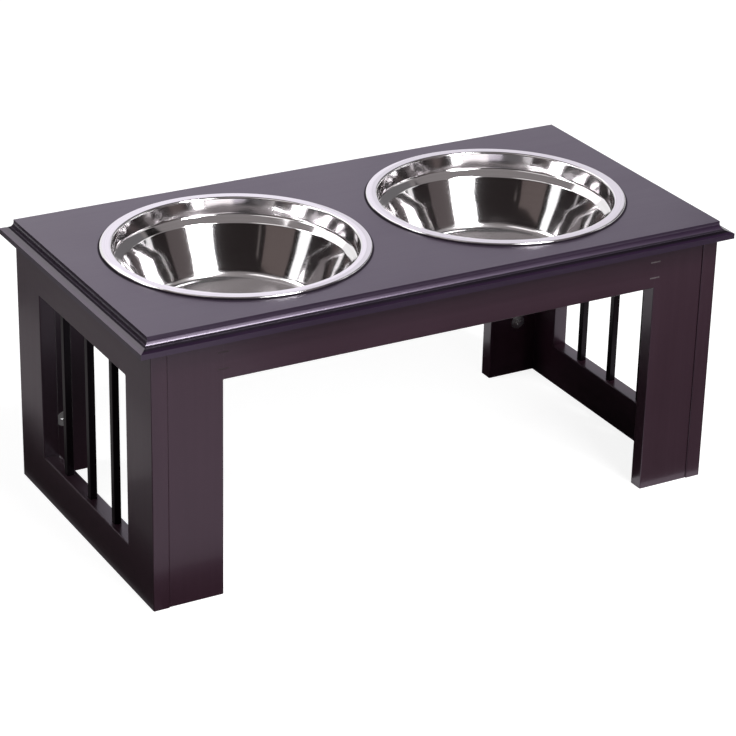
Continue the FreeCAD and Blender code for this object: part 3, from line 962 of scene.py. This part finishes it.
@dataclass
class Woodwork:
    """The boards of the stand, with the way that the wood of each runs."""

    slat_places: tuple[str, ...] = ("front", "middle", "back")

    def boards(self) -> dict[str, Grain]:
        """The frame's boards.

        Returns:
            The grain of each board, by node.
        """
        grains = {}
        for face in Face:
            grains[f"{face.word}_apron"] = Grain.LENGTHWISE
            for side in Side:
                grains[f"{face.word}_{side.word}_leg"] = Grain.UPRIGHT
                grains[f"{side.word}_{face.word}_stile"] = Grain.UPRIGHT
        for side in Side:
            for end in ("top", "bottom"):
                grains[f"{side.word}_{end}_rail"] = Grain.CROSSWISE
        return grains

    def slats(self) -> list[str]:
        """List the slats' nodes."""
        return [f"{side.word}_{place}_slat" for side in Side for place in self.slat_places]

    def dress(self, effects: Effects) -> None:
        """Lacquer every board, the slats and the top.

        Args:
            effects: The shared effects.
        """
        finishes = {grain: FRAME_LACQUER.make(effects, grain) for grain in Grain}
        for node, grain in self.boards().items():
            give_material(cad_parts[node], finishes[grain])
            log.info("%s: lacquered, grain %s", node, grain.value)
        # Painted shade on the slats.
        shaded_slat_finish = SHADED_SLAT_LACQUER.make(effects, Grain.UPRIGHT)
        for node in self.slats():
            give_material(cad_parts[node], shaded_slat_finish)
            log.info("%s: lacquered, grain %s", node, Grain.UPRIGHT.value)
        give_material(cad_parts["top_board"], TOP_LACQUER.make(effects, Grain.LENGTHWISE))
        log.info("top_board: lacquered, grain %s", Grain.LENGTHWISE.value)


class Fittings:
    """The cams, bolts, dowels and staples that hold the boards together."""

    def nodes(self) -> dict[str, FittingFinish]:
        """The fittings.

        Returns:
            The finish of each set of fittings, by node.
        """
        finishes: dict[str, FittingFinish] = {"top_dowels": DOWEL_BEECH}
        for place in (*(side.word for side in Side), "top"):
            finishes[f"{place}_cam_locks"] = CAM_ZINC
            finishes[f"{place}_cam_bolts"] = BOLT_STEEL
        for side in Side:
            finishes[f"{side.word}_panel_dowels"] = DOWEL_BEECH
            finishes[f"{side.word}_leg_dowels"] = DOWEL_BEECH
        for face in Face:
            finishes[f"{face.word}_apron_dowels"] = DOWEL_BEECH
            finishes[f"{face.word}_staples"] = PAINTED_WIRE
        return finishes

    def dress(self, effects: Effects) -> None:
        """Give each set of fittings its metal or wood.

        Args:
            effects: The shared effects.
        """
        made: dict[str, bpy.types.Material] = {}
        for node, finish in self.nodes().items():
            if finish.name not in made:
                made[finish.name] = finish.make(effects)
            give_material(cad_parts[node], made[finish.name])
            log.info("%s: %s", node, finish.name)


@dataclass(frozen=True)
class Panel:
    """A tall panel of the studio: its bearing, its heights, its colour and how bright it is."""

    name: str
    start: float
    end: float
    low: float
    high: float
    colour: Colour
    strength: float = 1.0
    reach: float = 2.4


@dataclass(frozen=True)
class Card:
    """A level card on the floor or overhead, painted shade or light that only the lacquer's reflections see: two
    opposite corners.
    """

    name: str
    low: tuple[float, float]
    high: tuple[float, float]
    colour: Colour
    height: float = CARD_HEIGHT


@dataclass(frozen=True)
class Softbox:
    """A soft lamp: where it hangs, what it points at, its sides and its power in watts."""

    name: str
    place: Point
    aim: Point
    width: float
    height: float
    power: float


@dataclass
class Studio:
    """The white floor, the lamps, the panels that the steel mirrors, and the camera.

    Bearings are in degrees from +Y towards +X. The cards are seen only in reflections: on the floor they are painted
    shade, standing in for the object's shadow, and overhead are a dark sail and a glowing one that is no lamp.
    """

    floor_half: float = 8.0
    floor_drop: float = 0.0002
    paper: float = 0.45
    lift: float = 0.88
    ambient: float = 0.06
    ceiling_height: float = 2.35
    ceiling_half: float = 2.9
    ceiling_sides: int = 48
    ceiling_colour: Colour = (0.24, 0.222, 0.222)
    panel_step: int = 4
    panel_least_steps: int = 4
    yaw: float = 29.636
    pitch: float = 25.077
    roll: float = 1.347
    aim: Point = (0.0, 0.0, 0.130)
    camera_offset: Point = (0.001767, -0.019181, 2.473636)
    focal_pixels: float = 2720.247
    panels: tuple[Panel, ...] = (
        Panel("curtain", 112.0, 340.0, 0.0, 2.35, (0.022, 0.018, 0.018), reach=2.9),
        Panel("brown_cloth", 132.0, 156.0, 0.0, 2.2, (0.105, 0.088, 0.088), reach=2.8),
        Panel("door_edge", 233.0, 235.0, 0.0, 1.5, (0.13, 0.115, 0.11)),
        Panel("warm_wall", 240.0, 270.0, 0.0, 1.6, (0.13, 0.105, 0.10)),
        Panel("left_panel", 276.0, 288.0, 0.0, 1.6, (1.0, 1.0, 1.0), strength=1.4),
        Panel("far_streak", 311.0, 313.0, 0.0, 1.0, (0.5, 0.48, 0.48)),
        Panel("back_panel", 314.0, 374.0, 1.2, 2.34, (1.0, 0.97, 0.97), strength=1.7, reach=1.8),
        Panel("back_wall", 13.0, 29.0, 0.5, 2.34, (1.03, 0.985, 1.09)),
        Panel("back_corner", 29.0, 46.0, 0.5, 2.34, (0.87, 0.835, 0.92)),
        Panel("right_wall", 45.0, 92.0, 0.6, 2.34, (0.16, 0.155, 0.16)),
        Panel("light_stand", 101.0, 105.0, 0.0, 1.3, (0.03, 0.03, 0.03)),
    )
    # Painted shade on the floor and painted light overhead, seen only in reflections.
    cards: tuple[Card, ...] = (
        Card("under", (0.02, -0.12), (0.265, 0.2), (0.012, 0.011, 0.011)),
        Card("right", (0.20, -0.85), (0.95, -0.15), (0.19, 0.18, 0.18)),
        Card("left", (-0.33, -0.17), (-0.283, 0.26), (0.03, 0.028, 0.028)),
        Card("front", (-0.34, -0.75), (0.02, -0.20), (0.84, 0.81, 0.84)),
        Card("left_far", (-0.43, 0.085), (-0.34, 0.5), (0.5, 0.47, 0.48)),
        Card("left_all", (-1.1, -0.4), (-0.27, 1.1), (0.18, 0.172, 0.176), height=LOWER_CARD_HEIGHT),
        Card("under_left", (-0.27, -0.2), (0.02, 0.16), (0.06, 0.057, 0.058), height=LOWER_CARD_HEIGHT),
        Card("apron", (0.0, -1.0), (0.25, -0.2), (0.17, 0.165, 0.168), height=LOWER_CARD_HEIGHT),
        Card("left_top", (-0.64, 0.02), (-0.46, 0.66), (0.30, 0.278, 0.288)),
        Card("sail", (0.12, -0.1), (2.1, 1.75), (0.012, 0.011, 0.011), height=SAIL_HEIGHT),
        Card("left_sail", (-1.55, -0.8), (-0.95, 0.5), (1.5, 1.46, 1.46), height=SAIL_HEIGHT),
    )
    softboxes: tuple[Softbox, ...] = (
        Softbox("key", (0.42, -0.80, 1.7), (-0.05, 0.0, 0.25), 0.36, 0.36, 20.0),
        Softbox("front", (0.365, -2.07, 1.75), (0.0, 0.0, 0.25), 1.15, 1.5, 40.0),
        Softbox("left", (-1.7, 0.9, 1.9), (-0.3, 0.0, 0.05), 0.8, 0.8, 13.0),
    )

    def build_floor(self) -> None:
        """Lay the floor: pale paper, lifted to white where it is seen or mirrored, with the shadow left in."""
        deselect_all()
        place = (0.0, 0.0, -self.floor_drop)
        bpy.ops.mesh.primitive_plane_add(size=2 * self.floor_half, location=place)
        floor = bpy.context.object
        floor.name = "studio_floor"
        apply_place(floor)
        material = bpy.data.materials.new("studio_paper")
        material.use_nodes = True
        sheet = NodeSheet(material.node_tree)
        paper = sheet.add("ShaderNodeBsdfDiffuse")
        paper.inputs["Color"].default_value = (self.paper, self.paper, self.paper, 1.0)
        glow = sheet.add("ShaderNodeEmission")
        sheet.wire(sheet.math("MULTIPLY", sheet.in_view(), self.lift), glow.inputs["Strength"])
        both = sheet.add("ShaderNodeAddShader")
        sheet.wire(paper.outputs["BSDF"], both.inputs[0])
        sheet.wire(glow.outputs["Emission"], both.inputs[1])
        output = sheet.add("ShaderNodeOutputMaterial")
        sheet.wire(both.outputs["Shader"], output.inputs["Surface"])
        give_material(floor, material)

    def build_world(self) -> None:
        """Make the surroundings white to the camera and to what mirrors them, and a soft ambient light."""
        world = bpy.data.worlds.new("studio_air")
        bpy.context.scene.world = world
        world.use_nodes = True
        sheet = NodeSheet(world.node_tree)
        soft, white = sheet.add("ShaderNodeBackground"), sheet.add("ShaderNodeBackground")
        soft.inputs["Color"].default_value = WHITE
        soft.inputs["Strength"].default_value = self.ambient
        white.inputs["Color"].default_value = WHITE
        mix = sheet.add("ShaderNodeMixShader")
        sheet.wire(sheet.in_view(), mix.inputs["Fac"])
        sheet.wire(soft.outputs["Background"], mix.inputs[1])
        sheet.wire(white.outputs["Background"], mix.inputs[2])
        output = sheet.add("ShaderNodeOutputWorld")
        sheet.wire(mix.outputs["Shader"], output.inputs["Surface"])

    def build_ceiling(self) -> None:
        """Hang the ceiling, which only what mirrors it sees."""
        deselect_all()
        bpy.ops.mesh.primitive_circle_add(
            vertices=self.ceiling_sides,
            radius=self.ceiling_half,
            fill_type="NGON",
            location=(0.0, 0.0, self.ceiling_height),
        )
        ceiling = bpy.context.object
        ceiling.name = "studio_ceiling"
        apply_place(ceiling)
        self.make_reflector(ceiling, self.ceiling_colour)

    def make_reflector(self, screen: bpy.types.Object, colour: Colour, strength: float = 1.0) -> None:
        """Make a screen glow in a colour, for what mirrors it alone.

        Args:
            screen: The screen.
            colour: Its colour.
            strength: How bright it is; 1 is as bright as the white surroundings.
        """
        material = bpy.data.materials.new(screen.name)
        material.use_nodes = True
        sheet = NodeSheet(material.node_tree)
        glow = sheet.add("ShaderNodeEmission")
        glow.inputs["Color"].default_value = (*colour, 1.0)
        glow.inputs["Strength"].default_value = strength
        output = sheet.add("ShaderNodeOutputMaterial")
        sheet.wire(glow.outputs["Emission"], output.inputs["Surface"])
        give_material(screen, material)
        screen.visible_camera = False
        screen.visible_diffuse = False
        screen.visible_shadow = False
        screen.visible_transmission = False

    def build_panel(self, panel: Panel) -> None:
        """Stand a curved panel round the object, seen only in what mirrors it.

        Args:
            panel: The panel's bearing, heights and colour.
        """
        start = math.radians(panel.start)
        foot = (panel.reach * math.sin(start), panel.reach * math.cos(start), panel.low)
        screen = start_drawing(f"studio_{panel.name}", foot)
        rise = (0.0, 0.0, panel.high - panel.low)
        bpy.ops.mesh.extrude_vertices_move(TRANSFORM_OT_translate={"value": rise})
        bpy.ops.mesh.select_all(action="SELECT")
        sweep = math.radians(panel.end - panel.start)
        steps = max(self.panel_least_steps, round(panel.end - panel.start) // self.panel_step)
        bpy.ops.mesh.spin(steps=steps, angle=sweep, center=(0.0, 0.0, 0.0), axis=(0.0, 0.0, 1.0))
        bpy.ops.object.mode_set(mode="OBJECT")
        self.make_reflector(screen, panel.colour, panel.strength)

    def build_card(self, card: Card) -> None:
        """Lay or hang a level card.

        Args:
            card: The card's corners and colour.
        """
        deselect_all()
        (x_low, y_low), (x_high, y_high) = card.low, card.high
        middle = ((x_low + x_high) / 2, (y_low + y_high) / 2, card.height)
        bpy.ops.mesh.primitive_plane_add(size=1.0, location=middle)
        sheet = bpy.context.object
        sheet.name = f"studio_card_{card.name}"
        sheet.scale = (x_high - x_low, y_high - y_low, 1.0)
        apply_place(sheet)
        self.make_reflector(sheet, card.colour)

    def build_softbox(self, box: Softbox) -> None:
        """Hang a soft lamp.

        Args:
            box: The lamp's place, aim, size and power.
        """
        data = bpy.data.lights.new(f"studio_{box.name}", "AREA")
        data.shape = "RECTANGLE"
        data.size, data.size_y = box.width, box.height
        data.energy = box.power
        lamp = bpy.data.objects.new(data.name, data)
        bpy.context.scene.collection.objects.link(lamp)
        lamp.location = box.place
        lamp.rotation_euler = (Vector(box.aim) - Vector(box.place)).to_track_quat("-Z", "Y").to_euler()
        lamp.visible_camera = False

    def build_camera(self) -> None:
        """Set the camera up as it stood for the photograph."""
        data = bpy.data.cameras.new("studio_camera")
        data.sensor_fit = "HORIZONTAL"
        data.sensor_width = SENSOR_WIDTH
        data.lens = SENSOR_WIDTH * self.focal_pixels / PHOTO_PIXELS
        turn = Euler((math.radians(90.0 - self.pitch), 0.0, math.radians(-self.yaw))).to_matrix()
        turn = turn @ Matrix.Rotation(math.radians(self.roll), 3, "Z")
        camera = bpy.data.objects.new(data.name, data)
        bpy.context.scene.collection.objects.link(camera)
        camera.matrix_world = Matrix.Translation(Vector(self.aim) + turn @ Vector(self.camera_offset)) @ turn.to_4x4()
        bpy.context.scene.camera = camera

    def build(self) -> None:
        """Set up the whole studio."""
        self.build_floor()
        self.build_world()
        self.build_ceiling()
        for panel in self.panels:
            self.build_panel(panel)
        for card in self.cards:
            self.build_card(card)
        for box in self.softboxes:
            self.build_softbox(box)
        self.build_camera()
        bpy.context.scene.view_settings.view_transform = "Standard"
        log.info("studio: %d panels, %d softboxes", len(self.panels), len(self.softboxes))


def main() -> None:
    """Build and dress the feeder, then set up the studio."""
    effects = Effects()
    Woodwork().dress(effects)
    Fittings().dress(effects)
    for side in Side:
        bowl = Bowl(side)
        bowl.dress(bowl.build(), effects)
    Studio().build()


if __name__ == "__main__":
    main()
